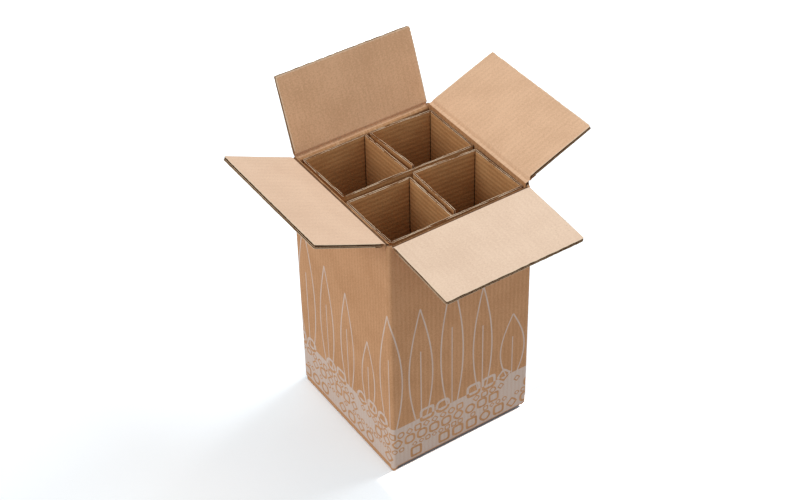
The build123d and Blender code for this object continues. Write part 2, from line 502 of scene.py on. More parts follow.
# %% Kraft finishes
CLOUD_PER_M = 22.0
MOTTLE_PER_M = 420.0
FIBRE_ALONG_PER_M, FIBRE_ACROSS_PER_M = 300.0, 1500.0
FLECK_ALONG_PER_M, FLECK_ACROSS_PER_M = 300.0, 900.0
STREAK_ALONG_PER_M, STREAK_ACROSS_PER_M = 40.0, 160.0
RELIEF_STRENGTH, RELIEF_M = 0.18, 0.00022
DARK_FLECK, PALE_FLECK = paint(120, 84, 52), paint(238, 218, 190)
# The pale rub colour serves both for wear and for painted highlight, and the deep brown is painted shade.
RUB_AND_HIGHLIGHT, PAINTED_SHADE = paint(236, 214, 185), paint(70, 44, 24)
INK = paint(230, 216, 207)


def kraft(name, light, dark, stripe_pitch=FINE_PITCH, stripe=0.0, contrast=1.0, printed=False, bloom=0.0):
    """Kraft liner: a mix of a light and a dark brown by clouds, mottle, fibres and glue stripes, then
    flecks, ink, pale wear with painted highlight, and painted shade over it."""
    finish = Finish(name)
    sheet = finish.node("ShaderNodeUVMap", {"uv_map": "sheet"})
    sheet_x, sheet_y = finish.part(sheet, "X"), finish.part(sheet, "Y")
    cloud = finish.noise(sheet, CLOUD_PER_M)
    mottle = finish.noise(sheet, MOTTLE_PER_M, 3.0)
    fibre = finish.noise(finish.stretched(sheet, FIBRE_ALONG_PER_M, FIBRE_ACROSS_PER_M), 1.0, 3.0)
    fleck = finish.noise(finish.stretched(sheet, FLECK_ALONG_PER_M, FLECK_ACROSS_PER_M), 1.0, 1.0)
    streak = finish.noise(finish.stretched(sheet, STREAK_ACROSS_PER_M, STREAK_ALONG_PER_M), 1.0, 2.0)
    tone = 0.5 + contrast * ((cloud - 0.5) * 0.35 + (mottle - 0.5) * 0.55 + (fibre - 0.5) * 0.45)
    wave = (sheet_x * (2 * math.pi / (stripe_pitch * MM))).sine()
    if stripe:
        tone = tone + wave * streak * (2 * stripe) + (streak - 0.5) * (2 * stripe)
    colour = finish.mix(dark, light, tone.above(0.0, 1.0))
    colour = finish.mix(colour, DARK_FLECK, fleck.above(0.74, 0.86) * 0.35)
    colour = finish.mix(colour, PALE_FLECK, (1 - fleck).above(0.76, 0.88) * 0.30)
    wear_and_shading = finish.node("ShaderNodeAttribute", {"attribute_name": "wear_and_shading"}, None, "Fac")
    # Pale mix: real rub at cut edges and folds, and painted highlight on crease ridges, crease streaks and
    # divider tops.
    rubbed_and_highlit = (wear_and_shading + (mottle - 0.5) * 0.9).above(0.35, 0.95) * 0.6
    if printed:
        ink = ink_mask(finish, sheet_x, sheet_y)
        cover = 0.90 - (1 - mottle) * 0.24 + wave * streak * 0.12
        colour = finish.mix(colour, INK, ink * cover * (1 - rubbed_and_highlit))
    colour = finish.mix(colour, RUB_AND_HIGHLIGHT, rubbed_and_highlit)
    # Painted shade: below zero the attribute mixes in a deep brown, in crease valleys, divider fold slots
    # and beside the tube's corners.
    colour = finish.mix(colour, PAINTED_SHADE, (0 - wear_and_shading).above(0.1, 0.9) * 0.8)
    relief = {"Strength": RELIEF_STRENGTH, "Distance": RELIEF_M, "Height": fibre * 0.6 + mottle * 0.4}
    looks = {
        "Base Color": colour,
        "Normal": finish.node("ShaderNodeBump", None, relief),
        "Roughness": 0.80 + (mottle - 0.5) * 0.14,
        "Specular IOR Level": 0.25 + 0.5 * bloom,
        "Sheen Weight": bloom,
    }
    for socket, look in looks.items():
        finish.feed(finish.surface, socket, look)
    return finish.material


# %% The papers' finishes
OUTER_LIGHT, OUTER_DARK = paint(222, 171, 128), paint(200, 149, 106)
INNER_LIGHT, INNER_DARK = paint(228, 184, 144), paint(208, 164, 124)
# Painted light: these three are copies of the one inner paper, painted lighter for the right, front and left
# flaps by how much light falls on each; the back flap keeps the inner paper itself.
LIT_RIGHT_LIGHT, LIT_RIGHT_DARK = paint(238, 196, 158), paint(219, 177, 139)
LIT_FRONT_LIGHT, LIT_FRONT_DARK = paint(243, 215, 188), paint(227, 197, 170)
LIT_LEFT_LIGHT, LIT_LEFT_DARK = paint(240, 205, 173), paint(224, 187, 155)
BOARD_FINISHES = [
    kraft("kraft_inner", INNER_LIGHT, INNER_DARK, COARSE_PITCH, 0.08, 2.6, bloom=0.4),
    kraft("kraft_outer", OUTER_LIGHT, OUTER_DARK, FINE_PITCH, 0.12, 1.9),
    kraft("kraft_medium", paint(132, 92, 56), paint(104, 70, 42)),
    kraft("kraft_cut_edge", paint(232, 200, 164), paint(182, 142, 104), contrast=1.5),
    kraft("kraft_printed", OUTER_LIGHT, OUTER_DARK, FINE_PITCH, 0.12, 1.9, printed=True),
    kraft("kraft_inner_painted_lit_front", LIT_FRONT_LIGHT, LIT_FRONT_DARK, COARSE_PITCH, 0.06, 1.9, bloom=0.4),
    kraft("kraft_inner_painted_lit_left", LIT_LEFT_LIGHT, LIT_LEFT_DARK, COARSE_PITCH, 0.06, 1.9, bloom=0.4),
    kraft("kraft_inner_painted_lit_right", LIT_RIGHT_LIGHT, LIT_RIGHT_DARK, COARSE_PITCH, 0.08, 2.2, bloom=0.4),
    # Partly painted shade: the crushed paper is a darker copy of the inner paper, for the crush and for the
    # shade on the wall's top below a crease.
    kraft("kraft_crushed_shaded", paint(200, 154, 110), paint(172, 126, 86), COARSE_PITCH, 0.1, 1.6),
]
INNER, OUTER, FLUTE, CUT, PRINTED, INNER_PAINTED_LIT_FRONT, INNER_PAINTED_LIT_LEFT, INNER_PAINTED_LIT_RIGHT, CRUSHED_SHADED = range(9)
DIVIDER_FINISHES = [
    kraft("kraft_divider", paint(208, 162, 110), paint(176, 128, 82), DIVIDER_PITCH, 0.26, 1.4),
    BOARD_FINISHES[FLUTE],
    kraft("kraft_divider_edge", paint(240, 218, 192), paint(202, 170, 137), contrast=1.6),
]
DIVIDER_FACE, DIVIDER_FLUTE, DIVIDER_EDGE = range(3)
print("finishes", sorted({material.name for material in BOARD_FINISHES + DIVIDER_FINISHES}))

# %% [markdown]
# ## Double-wall board
# The board is five papers: three flat liners and two fluted media between them. A slab with a bump would do
# from afar, but here the cut edges show, and the flutes press through the faces. One helper makes all five
# papers for any part of the carton. It is told how a point of the flat board lies in the box, by a function
# place(a, b, d): a runs across the flutes, b along them, and d is the depth from the outer face.

# %% The five papers
ALL_PAPERS = ("outer", "fine", "middle", "coarse", "inner")
CORE_PAPERS = ("fine", "middle", "coarse")
POINTS_PER_FLUTE = {"outer": 6, "fine": 8, "coarse": 10, "inner": 6}
MIDDLE_STEP = 5.0
CUT_ROUGHNESS = 0.16
PLAIN_FACES = (OUTER, INNER, FLUTE)
PRINTED_FACES = (PRINTED, INNER, FLUTE)


def washboard(a, pitch, amount=WASHBOARD):
    """How far a liner sinks between two flute tips: 0 at the tips and amount half way, a raised cosine."""
    return amount * (1 - np.cos(2 * math.pi * a / pitch)) / 2


def fluted(a, low, high, pitch):
    """Depth of a medium's middle, a cosine between its two liners, and the factor that keeps its thickness
    even where it is steep: the square root of 1 + slope squared."""
    swing = (high - low - MEDIUM) / 2
    angle = 2 * math.pi * a / pitch
    slope = 2 * math.pi / pitch * swing * np.sin(angle)
    return (high + low) / 2 + swing * np.cos(angle), np.sqrt(1 + slope**2)


def paper_depths(paper, across, pitches, swell):
    """Depths of a paper's two faces below the board's outer face. Liners ripple with the flutes that they
    are glued to, and are thicker by swell."""
    if paper == "outer":
        front = washboard(across + pitches["fine"] / 2, pitches["fine"])
        return front, front + LINER + swell
    if paper == "inner":
        front = BOARD - washboard(across, pitches["coarse"])
        return front, front - LINER - swell
    if paper == "middle":
        return COARSE_LOW + swell / 2, FINE_HIGH - swell / 2
    low, high = (FINE_LOW, FINE_HIGH) if paper == "fine" else (COARSE_LOW, COARSE_HIGH)
    middle, steep = fluted(across, low, high, pitches[paper])
    return middle + MEDIUM / 2 * steep, middle - MEDIUM / 2 * steep


def papers(place, a_range, b_line, which, cut=(), seed=0, wear_and_shading=None, flat=None, faces=PLAIN_FACES, fray=0.0):
    """Shells of the papers named in which.

    a_range is the start and end across the flutes and b_line the positions along them. cut names the sides
    that are cuts, flat(a, b) gives a point's place on the flat sheet, and faces are the finishes of the
    outer liner, the inner liner and the media. Where they are worn, the liners are thicker by fray.
    """
    start, end = a_range
    span = end - start
    flutes = {"fine": max(1, round(span / FINE_PITCH)), "coarse": max(1, round(span / COARSE_PITCH))}
    pitches = {name: span / count for name, count in flutes.items()}
    columns = {
        "outer": POINTS_PER_FLUTE["outer"] * flutes["fine"],
        "inner": POINTS_PER_FLUTE["inner"] * flutes["coarse"],
        "middle": max(6, round(span / MIDDLE_STEP)),
        "fine": POINTS_PER_FLUTE["fine"] * flutes["fine"],
        "coarse": POINTS_PER_FLUTE["coarse"] * flutes["coarse"],
    }
    finish = {"outer": faces[0], "inner": faces[1]}
    shells = []
    for number, paper in enumerate(which):
        a, b = np.meshgrid(np.linspace(start, end, columns[paper] + 1), b_line, indexing="ij")
        worn_and_shaded = 0 * a if wear_and_shading is None else wear_and_shading(a, b)
        front, back = paper_depths(paper, a - start, pitches, fray * np.clip(worn_and_shaded, 0, 1))
        a, b = roughen(a, b, cut, CUT_ROUGHNESS, seed + 10 * number)
        worn_and_shaded = 0.0 if paper in CORE_PAPERS else worn_and_shaded
        face = finish.get(paper, faces[2])
        rim = faces[2] if paper in ("fine", "coarse") else CUT
        sheet = np.stack((a, b) if flat is None else flat(a, b), axis=-1)
        shells.append(shell(place(a, b, front), place(a, b, back), sheet, face, rim, worn_and_shaded))
    return shells


# %% [markdown]
# ## The tube's plan
# The carton's wall is one sheet, folded round the four corners. Four slabs could meet there, but then no
# paper would bend round the corner. So its plan is a pair of lines, the outer and the inner face, that are
# walked side by side: a straight run for each wall and an arc for each corner. At the front right corner
# the right wall turns in and is crushed to the glue tab, and the front wall's cut end laps over it.

# %% Plan of the sheet
SEAM_RADIUS = 4.0
SEAM_GAP = 0.4
TAB_THICKNESS = 2.0
TAB_WIDTH = 32.0
TAB_INNER_RADIUS = 1.0
ARC_STEPS = 10
WALK_POINTS = 40000


def arc(centre, radius, start_deg, end_deg):
    """Points along an arc: centre + radius * (cosine, sine) of evenly spaced angles."""
    angles = np.radians(np.linspace(start_deg, end_deg, ARC_STEPS + 1))
    return np.stack([centre[0] + radius * np.cos(angles), centre[1] + radius * np.sin(angles)], axis=-1)


def sheet_plan():
    """Outer and inner line of the folded sheet, from the front wall's cut end round to the tab's edge, with
    the distance along the outer line at each point."""
    x_out, y_out = WIDTH / 2, DEPTH / 2
    x_in, y_in = INNER_WIDTH / 2, INNER_DEPTH / 2
    cx, cy = x_out - CORNER_RADIUS, y_out - CORNER_RADIUS
    ix, iy = x_in - INNER_CORNER_RADIUS, y_in - INNER_CORNER_RADIUS
    outer = [np.array([[x_out, -y_out]])]
    inner = [np.array([[x_out, -y_in]])]
    for sx, sy, start in ((-1, -1, -90), (-1, 1, -180), (1, 1, -270)):
        outer.append(arc((sx * cx, sy * cy), CORNER_RADIUS, start, start - 90))
        inner.append(arc((sx * ix, sy * iy), INNER_CORNER_RADIUS, start, start - 90))
    seam_centre = (x_out - SEAM_RADIUS, -y_in + SEAM_RADIUS + SEAM_GAP)
    tab_centre = (x_in - TAB_INNER_RADIUS, -y_in + TAB_THICKNESS + TAB_INNER_RADIUS)
    outer = np.concatenate([*outer, arc(seam_centre, SEAM_RADIUS, 0, -90)])
    inner = np.concatenate([*inner, arc(tab_centre, TAB_INNER_RADIUS, 0, -90)])
    return outer, inner, distances(outer)


plan_outer, plan_inner, plan_s = sheet_plan()
sheet_end = float(plan_s[-1])


def s_at(x, y):
    """Distance along the sheet of the plan's outer point nearest to (x, y), on a dense walk."""
    walk = np.linspace(0, sheet_end, WALK_POINTS)
    px, py = np.interp(walk, plan_s, plan_outer[:, 0]), np.interp(walk, plan_s, plan_outer[:, 1])
    return float(walk[np.argmin((px - x) ** 2 + (py - y) ** 2)])


CORNERS_S = [s_at(-WIDTH / 2, -DEPTH / 2), s_at(-WIDTH / 2, DEPTH / 2), s_at(WIDTH / 2, DEPTH / 2)]
print("sheet length", round(sheet_end, 1), "mm round the outside")

# %% [markdown]
# ## The flaps
# Each flap is a panel of the same board. Its CAD solid could be kept and only coloured, but its three cut
# edges show the flutes, so it is made of its five papers. At its root the scoring wheel has crushed the
# board to a thin lip, which the flap turns on, and the papers come together there.

# %% Flap sizes and poses
# turn is the side's angle about the vertical and open the flap's angle above level, in degrees. s is where
# the side's middle lies on the flat sheet, reach is the flap's length from its crease, and grow is how far
# each of its sides stands out beyond the crease. The last two lines of each flap are its look: the finish
# of its inside, which for all but the back flap is a copy of the inner paper painted lighter for the light
# that falls on that flap, the rub at its cut edges, and along its crease the painted shade of the valley,
# the place and half width of a line of dark core paper painted as shade, the place and strength of a
# painted highlight on the ridge, the place below which the paper is crushed and painted darker for shade
# as well, and the painted highlight streak. A place along the crease is the distance walked from its axis,
# negative down the wall.
FLAPS = {
    "left_flap": {
        "node": "flap_left", "kind": "major", "turn": 180, "open": 24.4, "s": s_at(-WIDTH / 2, 0),
        "reach": 106.4, "grow": (0.0, 0.0),
        "face": INNER_PAINTED_LIT_LEFT, "rub": 1.5, "valley_shade": 0.6, "shade_line": (-1.7, 1.9),
        "ridge_highlight": (-1.0, 0.0), "plain": -0.4, "streak": 0.8,
    },
    "right_flap": {
        "node": "flap_right", "kind": "major", "turn": 0, "open": 22.0, "s": s_at(WIDTH / 2, 0),
        "reach": 106.4, "grow": (-4.0, 0.0),
        "face": INNER_PAINTED_LIT_RIGHT, "rub": 1.5, "valley_shade": 0.0, "shade_line": (0.0, 0.0),
        "ridge_highlight": (-1.2, 0.40), "plain": -5.4, "streak": 0.2,
    },
    "front_flap": {
        "node": "flap_front", "kind": "minor", "turn": 270, "open": -4.5, "s": s_at(0, -DEPTH / 2),
        "reach": 112.4, "grow": (-0.5, -0.5),
        "face": INNER_PAINTED_LIT_FRONT, "rub": 1.5, "valley_shade": 0.6, "shade_line": (-2.4, 2.6),
        "ridge_highlight": (-1.0, 0.0), "plain": -0.4, "streak": 0.8,
    },
    "back_flap": {
        "node": "flap_back", "kind": "minor", "turn": 90, "open": 68.8, "s": s_at(0, DEPTH / 2),
        "reach": 108.3, "grow": (-0.25, -0.25),
        "face": INNER, "rub": 1.9, "valley_shade": 0.3, "shade_line": (0.0, 0.0),
        "ridge_highlight": (2.8, 0.5), "plain": -4.0, "streak": 0.6,
    },
}
# The left and right flaps are the major ones, with higher creases, and the front and back flaps the minor
# ones. The crushes are how far from the crease each face is drawn in to it, and bulge is how far the wall's
# inside stands out below it. base is the height of the closed bottom flap, and meeting the gap between two
# of them.
KINDS = {
    "major": {
        "half": WIDTH / 2, "span": MAJOR_SPAN, "axis_z": MAJOR_AXIS_Z, "axis_in_wall": 1.4,
        "axis_in_flap": 5.35, "crush": 10.0, "inner_crush": 1.6, "bulge": 0.0, "flap_crush": 4.5,
        "base": 0.0, "meeting": 0.5,
    },
    "minor": {
        "half": DEPTH / 2, "span": MINOR_SPAN, "axis_z": MINOR_AXIS_Z, "axis_in_wall": 1.5,
        "axis_in_flap": 2.95, "crush": 8.0, "inner_crush": 4.0, "bulge": 1.4, "flap_crush": 5.0,
        "base": POST_FOOT, "meeting": 2.4,
    },
}
FLAP_INNER_CRUSH = 4.0
INNER_LINER_FROM = 8.0
OUTER_LINER_FROM = 14.0
WALL_CORE_FROM = 4.6
FLAP_CORE_FROM = 6.4
GROW_OVER = 6.0

# %% Flap shape
CUT_FRAY = 0.45
CUT_SQUASH, SQUASH_WIDTH = 1.0, 3.5
BLUNT, BLUNT_WIDTH = 0.6, 2.2
WARP, WARP_SIZE, WARP_RISE = 0.2, 160, 40
RUB_WIDTH = 1.3


def turned(radial, along, height, turn):
    """From a side's own axes to the box: radial points out of the box, along runs beside the wall, and turn
    is the side's angle about the vertical."""
    c, s = math.cos(math.radians(turn)), math.sin(math.radians(turn))
    return np.stack([radial * c - along * s, radial * s + along * c, height], axis=-1)


def flap_faces(kind, b):
    """Depths of the flap's outer and inner face at a distance b from its axis, both drawn in to the lip."""
    axis = kind["axis_in_flap"]
    outer = (axis - CREASE_LIP / 2) * (1 - eased(b - CREASE_GAP, kind["flap_crush"] - CREASE_GAP))
    inner_lip = axis + CREASE_LIP / 2
    inner = inner_lip + (BOARD - inner_lip) * eased(b - CREASE_GAP, FLAP_INNER_CRUSH - CREASE_GAP)
    return outer, inner


def flap_point(flap, a, b, depth_from_axis):
    """A point of the flap, turned up to its open angle about the crease. Beyond the crease the flap's two
    sides stand out by its growth, which is negative where the slot beside it was cut wider."""
    kind = KINDS[flap["kind"]]
    half, (before, after) = kind["span"] / 2, flap["grow"]
    growth = (after * (half + a) - before * (half - a)) / (2 * half)
    a = a + growth * eased(b - CREASE_GAP, GROW_OVER)
    c, s = math.cos(math.radians(flap["open"])), math.sin(math.radians(flap["open"]))
    radial = kind["half"] - kind["axis_in_wall"] + b * c - depth_from_axis * s
    return turned(radial, a, kind["axis_z"] + b * s + depth_from_axis * c, flap["turn"])


def flap_place(flap, seed):
    """place(a, b, d) of one flap, with a slight warp of its board, blunted corners and edges that the knife
    has squashed a little thinner."""
    kind = KINDS[flap["kind"]]
    half, reach = kind["span"] / 2, flap["reach"]

    def place(a, b, d):
        outer, inner = flap_faces(kind, b)
        edge = np.clip(np.minimum(half - np.abs(a), reach - b), 0, None)
        outer = outer + CUT_SQUASH * fading(edge, SQUASH_WIDTH) * eased(b - CREASE_GAP, OUTER_LINER_FROM)
        outer = np.minimum(outer, inner - CREASE_LIP)
        depth = outer + (inner - outer) * d / BOARD - kind["axis_in_flap"]
        warp = WARP * soft_wave(a, b, WARP_SIZE, seed) * np.clip((b - OUTER_LINER_FROM) / WARP_RISE, 0, 1)
        blunt = BLUNT * fading(half - np.abs(a), BLUNT_WIDTH) * fading(reach - b, BLUNT_WIDTH)
        return flap_point(flap, a - blunt * np.sign(a), b - blunt, depth + warp)

    return place


def flap_wear(flap):
    """Wear of a flap: rub at its three cut edges, fading over about a millimetre."""
    half, reach = KINDS[flap["kind"]]["span"] / 2, flap["reach"]

    def wear_and_shading(a, b):
        edge = np.minimum(half - np.abs(a), reach - b)
        return flap["rub"] * fading(np.clip(edge, 0, None), RUB_WIDTH)

    return wear_and_shading


def on_sheet(flap, b_start):
    """flat(a, b) of a side: the wall, its flaps and its creases all lie on the same flat sheet."""
    return lambda a, b: (flap["s"] - a, b_start + b)


# %% Flap boards
for number, (body, flap) in enumerate(FLAPS.items()):
    kind = KINDS[flap["kind"]]
    half, reach = kind["span"] / 2, flap["reach"]
    place = flap_place(flap, 31 + number)
    look = {
        "cut": ("a0", "a1", "b1"),
        "wear_and_shading": flap_wear(flap),
        "flat": on_sheet(flap, kind["axis_z"]),
        "faces": (OUTER, flap["face"], FLUTE),
        "fray": CUT_FRAY,
    }
    inner_line = spread(INNER_LINER_FROM, (OUTER_LINER_FROM, 2), (reach - 3, 8), (reach, 3))
    outer_line = spread(OUTER_LINER_FROM, (reach - 3, 8), (reach, 3))
    core_line = spread(FLAP_CORE_FROM, (OUTER_LINER_FROM, 5), (reach - 2.5, 2), (reach - 0.2, 2))
    layers = ((("inner",), inner_line, 100), (("outer",), outer_line, 200), (CORE_PAPERS, core_line, 300))
    shells = []
    for which, b_line, seed in layers:
        shells += papers(place, (-half, half), b_line, which, seed=seed + number, **look)
    piece = build(f"{body}_board", shells, BOARD_FINISHES, body)
    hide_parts(flap["node"])

# %% [markdown]
# ## The tube's walls
# Straight walls would look machined. Real ones bow by a fraction of a millimetre, as board does when it
# stands unglued to anything. The bow dies out at the corners and at both ends, where the posts, flaps and
# creases join.

# %% Walls
TUBE_BOTTOM = 16.0
TUBE_TOP = 368.0
BOW, BOW_SIZE, BOW_SEED = 0.7, 300, 77
BOW_FROM_CORNER, BOW_RISE = 8, 45
BOW_FOOT, BOW_HEAD = 80, 60
RIDGE_WIDTH, RIDGE_SHADE_WIDTH = 2.0, 7.0
RIDGE_RUB, RIDGE_FOOT_RUB, RIDGE_SHADE = 0.12, 0.5, 0.24
RIDGE_FOOT = 10


def bow(s, z):
    """How far a wall stands out of flat: a soft wave that dies out at the corners and at both ends."""
    on_wall = np.ones(np.shape(s))
    for corner_s in (0.0, *CORNERS_S, sheet_end):
        on_wall = on_wall * eased(np.abs(s - corner_s) - BOW_FROM_CORNER, BOW_RISE)
    ends = eased(z - TUBE_BOTTOM, BOW_FOOT) * eased(TUBE_TOP - z, BOW_HEAD)
    return BOW * soft_wave(s, z, BOW_SIZE, BOW_SEED) * on_wall * ends


def tube_place(s, z, d):
    """place(a, b, d) of the tube: the outer and the inner line at s, mixed by the depth, at the height z."""
    outer = np.stack([np.interp(s, plan_s, plan_outer[:, i]) for i in (0, 1)], axis=-1)
    inner = np.stack([np.interp(s, plan_s, plan_inner[:, i]) for i in (0, 1)], axis=-1)
    share = ((d - bow(s, z)) / BOARD)[..., None]
    plan = outer + (inner - outer) * share
    return np.concatenate([plan, np.broadcast_to(z, plan.shape[:-1])[..., None]], axis=-1)


def fold_wear_and_shade(s, z):
    """Wear and painted shade of the tube: painted shade beside the folded corners, and pale wear on their
    ridges, most at the foot.
    """
    worn_and_shaded = np.zeros(np.shape(s))
    for corner_s in CORNERS_S:
        rub = RIDGE_RUB + RIDGE_FOOT_RUB * fading(z - POST_FOOT, RIDGE_FOOT)
        shade = RIDGE_SHADE * bell(s - corner_s, RIDGE_SHADE_WIDTH)
        worn_and_shaded = worn_and_shaded + bell(s - corner_s, RIDGE_WIDTH) * rub - shade
    return worn_and_shaded


whole = (0.0, sheet_end)
outer_rows = spread(TUBE_BOTTOM, (TUBE_BOTTOM + 20, 2), (TUBE_TOP - 20, 10), (TUBE_TOP, 2))
inner_rows = spread(TUBE_BOTTOM, (300, 2), (TUBE_TOP, 3))
core_rows = spread(TUBE_BOTTOM, (TUBE_TOP, 1))
walls = papers(tube_place, whole, outer_rows, ("outer",), ("a0",), 400, fold_wear_and_shade, None, PRINTED_FACES)
walls += papers(tube_place, whole, inner_rows, ("inner",), ("a0",), 410)
walls += papers(tube_place, whole, core_rows, CORE_PAPERS, ("a0",), 420)
piece = build("carton_walls", walls, BOARD_FINISHES, "box")
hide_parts("carton")

# %% [markdown]
# ## Corners, glue tab and bottom
# Above and below the tube the sheet is slotted at each corner, so only short posts of it go on there. The
# tube could end in a plain rim, but the posts show between the flaps. Their tops are pinched, because the
# scores of two flaps cross in them. The walls go on as flaps: at the bottom these are folded under and
# closed, the left and right ones outermost.

# %% Corner posts
PINCH_FROM = 373.0
PINCH_DEPTH = 3.6
PINCH_SHARE = 0.80
TIP_RUB, TIP_RUB_WIDTH = 0.6, 1.2
TIP_FACES = (OUTER, INNER, CUT)
wall_x, wall_y = MINOR_SPAN / 2, MAJOR_SPAN / 2
POST_RANGES = [
    (0.0, s_at(wall_x, -DEPTH / 2)),
    (s_at(-wall_x, -DEPTH / 2), s_at(-WIDTH / 2, -wall_y)),
    (s_at(-WIDTH / 2, wall_y), s_at(-wall_x, DEPTH / 2)),
    (s_at(wall_x, DEPTH / 2), s_at(WIDTH / 2, wall_y)),
    (float(plan_s[-ARC_STEPS - 1]), sheet_end),
]
# A post's foot is its height at the start and at the end of its width, and the share of the width between
# them.
POST_FEET = [
    (8.5, POST_FOOT, 0.75),
    (POST_FOOT, 0.2, 0.50),
    (POST_FOOT, POST_FOOT, 0.75),
    (POST_FOOT, POST_FOOT, 0.75),
    (8.0, 10.0, 0.75),
]
# A post's tip leans by a share of the way to the post's end, and the tab's post ends lower by a drop.
POST_LEAN = (0.55, 0.0, 0.0, 0.0, 0.5)
POST_DROP = (0.0, 0.0, 0.0, 0.0, 5.0)
print("corner posts", [round(end - start, 1) for start, end in POST_RANGES], "mm wide")


# %% Shape and wear of a post
def tip_place(end, lean, drop):
    """place(a, b, d) of a post's top: the board is squeezed about the depth where the flaps' creases lie,
    and leans towards the post's end by a share of the way. Its top may be lower than the others' by a
    drop."""

    def place(s, z, d):
        squeeze = 1 - PINCH_SHARE * (1 - shoulder(POST_TOP - z, POST_TOP - PINCH_FROM))
        s = s + (end - s) * lean * eased(z - TUBE_TOP, POST_TOP - TUBE_TOP)
        z = z - drop * (z - TUBE_TOP) / (POST_TOP - TUBE_TOP)
        return tube_place(s, z, PINCH_DEPTH + (d - PINCH_DEPTH) * squeeze)

    return place


def tip_wear_and_shade(s, z):
    """Wear and painted shade of a post's top: as the tube's, and paler with wear over the last two
    millimetres.
    """
    return fold_wear_and_shade(s, z) + TIP_RUB * fading(POST_TOP - z, TIP_RUB_WIDTH)


def foot_place(s_range, feet):
    """place(a, b, d) of a post's foot. Its lower edge runs from one height to the other over the post's
    first part, a share of its width."""

    def place(s, b, d):
        foot = feet[0] + (feet[1] - feet[0]) * eased(s - s_range[0], feet[2] * (s_range[1] - s_range[0]))
        z = TUBE_BOTTOM - (TUBE_BOTTOM - b) * (TUBE_BOTTOM - foot) / (TUBE_BOTTOM - POST_FOOT)
        return tube_place(s, z, d)

    return place


# %% Posts
top_line = spread(TUBE_TOP, (PINCH_FROM, 1), (POST_TOP, 8))
foot_line = spread(POST_FOOT, (TUBE_BOTTOM, 5))
posts = []
for number, (s_range, feet, lean, drop) in enumerate(zip(POST_RANGES, POST_FEET, POST_LEAN, POST_DROP)):
    seed = 500 + 60 * number
    tip, foot = tip_place(s_range[1], lean, drop), foot_place(s_range, feet)
    posts += papers(tip, s_range, top_line, ALL_PAPERS, ("b1",), seed, tip_wear_and_shade, None, TIP_FACES)
    posts += papers(foot, s_range, foot_line, ALL_PAPERS, ("b0",), seed + 30, fold_wear_and_shade, None, PRINTED_FACES)
build("carton_corners", posts, BOARD_FINISHES, "box")

# %% Glue tab
TAB_TOP = 379.0
TAB_BOTTOM = 13.25
TAB_SLANT = 6.0
TAB_GAP = 0.25
TAB_FRAY = 0.3
TAB_WASHBOARD = 0.2
TAB_FLAT_X = 900
tab_right = WIDTH / 2 - SEAM_RADIUS
tab_left = INNER_WIDTH / 2 - TAB_WIDTH
tab_x, tab_v = np.meshgrid(np.linspace(tab_left, tab_right, 60), np.linspace(0, 1, 6), indexing="ij")
slant = TAB_SLANT * np.clip((INNER_WIDTH / 2 - tab_x) / TAB_WIDTH, 0, 1)
tab_z = TAB_BOTTOM + slant + (TAB_TOP - TAB_BOTTOM - 2 * slant) * tab_v
tab_z[:, -1] -= np.abs(rough_line(tab_z.shape[0], TAB_FRAY, 610))
tab_inside = -INNER_DEPTH / 2 + TAB_THICKNESS - washboard(tab_x, FINE_PITCH, TAB_WASHBOARD)
tab_front = np.stack([tab_x, tab_inside, tab_z], axis=-1)
tab_back = np.stack([tab_x, np.full(tab_x.shape, -INNER_DEPTH / 2 + TAB_GAP), tab_z], axis=-1)
tab_flat = np.stack([tab_x + TAB_FLAT_X, tab_z], axis=-1)
build("glue_tab", [shell(tab_front, tab_back, tab_flat, INNER, CUT)], BOARD_FINISHES, "box")


# %% Closed bottom flaps
def fold_lines(kind, steps=5):
    """Section of a wall's lower end: down its outer and inner face, round the fold and in under the box, as
    two lines of (distance from the middle, height) with as many points each, and the length walked."""
    half, base, middle = kind["half"], kind["base"], kind["meeting"] / 2
    turn = np.radians(np.linspace(0, -90, steps + 1))
    lines = []
    for face, radius, low in ((half, FOLD_RADIUS, base), (half - BOARD, INNER_CORNER_RADIUS, base + BOARD)):
        bend_x, bend_z = face - radius + radius * np.cos(turn), low + radius + radius * np.sin(turn)
        bend = np.stack([bend_x, bend_z], axis=-1)
        run = np.array([[(face - radius + middle) / 2, low], [middle, low]])
        lines.append(np.concatenate([[[face, TUBE_BOTTOM]], bend, run]))
    return lines, distances(lines[0])


def base_place(flap, lines, length):
    """place(a, b, d) of a closed bottom flap: b is the length walked down the wall and in under the box."""

    def place(a, b, d):
        share = d / BOARD
        radial, height = (
            np.interp(b, length, lines[0][:, i]) * (1 - share) + np.interp(b, length, lines[1][:, i]) * share
            for i in (0, 1)
        )
        return turned(radial, a, height, flap["turn"])

    return place


def base_sheet(flap):
    """flat(a, b) of a bottom flap: the sheet goes on downwards from the tube."""
    return lambda a, b: (flap["s"] - a, TUBE_BOTTOM - b)


bottom = []
for number, flap in enumerate(FLAPS.values()):
    half = KINDS[flap["kind"]]["span"] / 2
    lines, length = fold_lines(KINDS[flap["kind"]])
    place, seed = base_place(flap, lines, length), 800 + 60 * number
    look = {"cut": ("a0", "a1"), "flat": base_sheet(flap), "faces": PRINTED_FACES}
    bottom += papers(place, (-half, half), length, ALL_PAPERS, seed=seed, **look)
build("carton_bottom", bottom, BOARD_FINISHES, "box")

# %% [markdown]
# ## The creases
# The outer and the inner liner run on from the wall over the crease to the flap without a break. A flap
# that only turned beside its wall would leave a gap there, so these strips are those two papers, shaped from
# the wall round the crease to the flap at its open angle.

# %% Shape across a crease
CREASE_BLEND = 1.6
BELOW_CRUSH = -10.5
BULGE_RISE = 3.6
BULGE_END, BULGE_FALL = 5, 8


